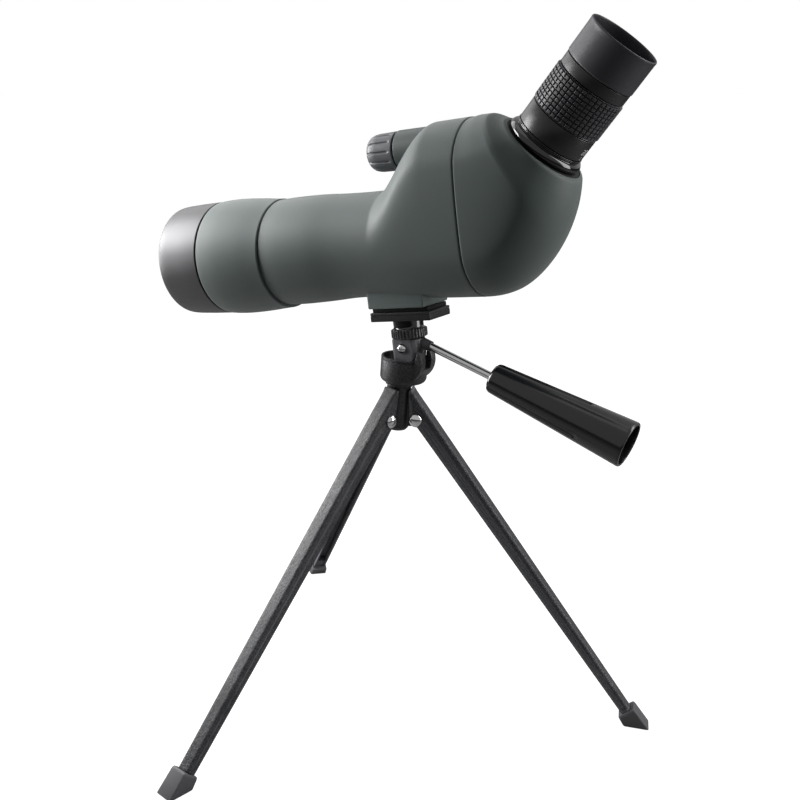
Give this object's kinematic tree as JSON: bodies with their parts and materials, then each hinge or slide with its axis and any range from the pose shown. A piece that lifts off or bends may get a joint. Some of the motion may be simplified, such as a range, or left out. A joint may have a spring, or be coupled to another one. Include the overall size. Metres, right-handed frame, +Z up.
{
  "type": "angled spotting scope on a table tripod",
  "caption": "Angled zoom spotting scope with rubber armour, side focus knob and raised eyepiece, on a small folding-leg table tripod with a pan and tilt head and handle.",
  "frame": {"origin": "on the ground, in the plane of the three foot soles, under the middle of the whole object's box; the tripod's vertical pan axis stands 0.3 mm along X and 28.0 mm along Y from it", "axes": "+Z up along the pan axis, +X from the objective end towards the eyepiece end, +Y to the side that carries the focus drive"},
  "size_m": [0.3528, 0.3074, 0.441],
  "materials": {
    "armour_rubber": "soft-touch matt grey-green armour, slight sheen",
    "black_plastic": "fine satin black",
    "gloss_black": "polished black moulding",
    "soft_rubber": "black rubber",
    "hammertone_paint": "black-grey hammered paint on pressed steel",
    "chrome": "bright plated",
    "steel": "plain bright steel",
    "brass": "turned brass",
    "anodised": "glossy black anodising",
    "optical_glass": "coated polished glass",
    "casting": "semi-gloss black paint on a casting",
    "focus_housing_plastic": "satin dark blue-grey",
    "knob_plastic": "matt dark grey"
  },
  "bodies": {
    "tripod": {"tripod_hub": "casting", "leg_pin_1": "chrome", "leg_pin_2": "chrome", "leg_pin_3": "chrome"},
    "leg_assembly_1": {"leg_1": "hammertone_paint", "foot_1": "soft_rubber"},
    "leg_assembly_2": {"leg_2": "hammertone_paint", "foot_2": "soft_rubber"},
    "leg_assembly_3": {"leg_3": "hammertone_paint", "foot_3": "soft_rubber"},
    "pan_head": {"pan_body": "casting", "pan_bolt": "steel"},
    "scope": {"tilt_block": "casting", "tilt_screw": "chrome", "camera_stud": "steel", "camera_plate": "black_plastic", "plate_pad": "soft_rubber", "mounting_foot": "armour_rubber", "foot_insert": "brass", "body_armour": "armour_rubber", "front_armour": "armour_rubber", "rear_armour": "armour_rubber", "main_casing": "black_plastic", "rear_casing": "black_plastic", "housing_seal": "soft_rubber", "front_ring": "anodised", "objective_cell": "black_plastic", "objective_front_lens": "optical_glass", "objective_rear_lens": "optical_glass", "objective_retainer": "black_plastic", "light_baffle": "black_plastic", "half_penta_prism": "optical_glass", "roof_prism": "optical_glass", "prism_frame": "steel", "focus_housing": "focus_housing_plastic", "focus_rail": "steel", "eyepiece_collar": "gloss_black", "eyepiece_tube": "black_plastic", "eye_band": "black_plastic", "eye_lens": "optical_glass"},
    "wheel": {"lock_wheel": "casting"},
    "handle": {"handle_rod": "chrome", "handle_grip": "gloss_black"},
    "focus_drive": {"focus_knob": "knob_plastic", "focus_shaft": "steel"},
    "focusing_cell": {"focus_carriage": "black_plastic", "focus_lens": "optical_glass"},
    "zoom_ring": {"zoom_grip": "soft_rubber", "scale_barrel": "black_plastic", "zoom_cam_sleeve": "brass"},
    "zoom_group": {"zoom_lens_group": "optical_glass"},
    "field_group": {"field_lens_group": "optical_glass"},
    "cup": {"eyecup": "soft_rubber"}
  },
  "joints": [
    {"name": "leg_1_fold", "type": "hinge", "parent": "tripod", "child": "leg_assembly_1", "pos_m": [-0.00207, 0.01573, 0.1935], "axis": [0.9813, -0.1925, 0], "range_deg": [0, 38]},
    {"name": "leg_2_fold", "type": "hinge", "parent": "tripod", "child": "leg_assembly_2", "pos_m": [0.01216, 0.03204, 0.1935], "axis": [-0.3239, 0.9461, 0], "range_deg": [0, 38]},
    {"name": "leg_3_fold", "type": "hinge", "parent": "tripod", "child": "leg_assembly_3", "pos_m": [-0.00908, 0.03621, 0.1935], "axis": [-0.6574, -0.7536, 0], "range_deg": [0, 38]},
    {"name": "head_pan", "type": "hinge", "parent": "tripod", "child": "pan_head", "pos_m": [0.00034, 0.02799, 0.2157], "axis": [0, 0, 1], "continuous": true},
    {"name": "head_tilt", "type": "hinge", "parent": "pan_head", "child": "scope", "pos_m": [0.00434, 0.02799, 0.24], "axis": [0, 1, 0], "range_deg": [-25, 30]},
    {"name": "wheel_turn", "type": "hinge", "parent": "scope", "child": "wheel", "pos_m": [0.0044, 0.02799, 0.2492], "axis": [-0.1994, 0, 0.9799], "continuous": true},
    {"name": "handle_lock", "type": "hinge", "parent": "scope", "child": "handle", "pos_m": [0.01748, 0.02799, 0.24359], "axis": [0.9692, 0, -0.2462], "range_deg": [-180, 0]},
    {"name": "focus_turn", "type": "hinge", "parent": "scope", "child": "focus_drive", "pos_m": [-0.03133, 0.04599, 0.3551], "axis": [0.9799, 0, 0.1994], "range_deg": [-200, 200]},
    {"name": "focus_travel", "type": "slide", "parent": "scope", "child": "focusing_cell", "axis": [0.9799, 0, 0.1994], "range_m": [-0.00349, 0.00349]},
    {"name": "zoom_turn", "type": "hinge", "parent": "scope", "child": "zoom_ring", "pos_m": [0.08984, 0.02799, 0.38187], "axis": [0.5519, 0, 0.8339], "range_deg": [-60, 60]},
    {"name": "zoom_group_travel", "type": "slide", "parent": "scope", "child": "zoom_group", "axis": [0.5519, 0, 0.8339], "range_m": [-0.007, 0.007]},
    {"name": "field_group_travel", "type": "slide", "parent": "scope", "child": "field_group", "axis": [0.5519, 0, 0.8339], "range_m": [-0.0035, 0.0035]},
    {"name": "eyecup_travel", "type": "slide", "parent": "scope", "child": "cup", "axis": [0.5519, 0, 0.8339], "range_m": [0, 0.006]}
  ],
  "couplings": [
    {"joint": "focus_turn", "follows": "focus_travel", "rad_per_m": 1000},
    {"joint": "zoom_group_travel", "follows": "zoom_turn", "m_per_rad": 0.0065},
    {"joint": "field_group_travel", "follows": "zoom_turn", "m_per_rad": -0.003}
  ]
}
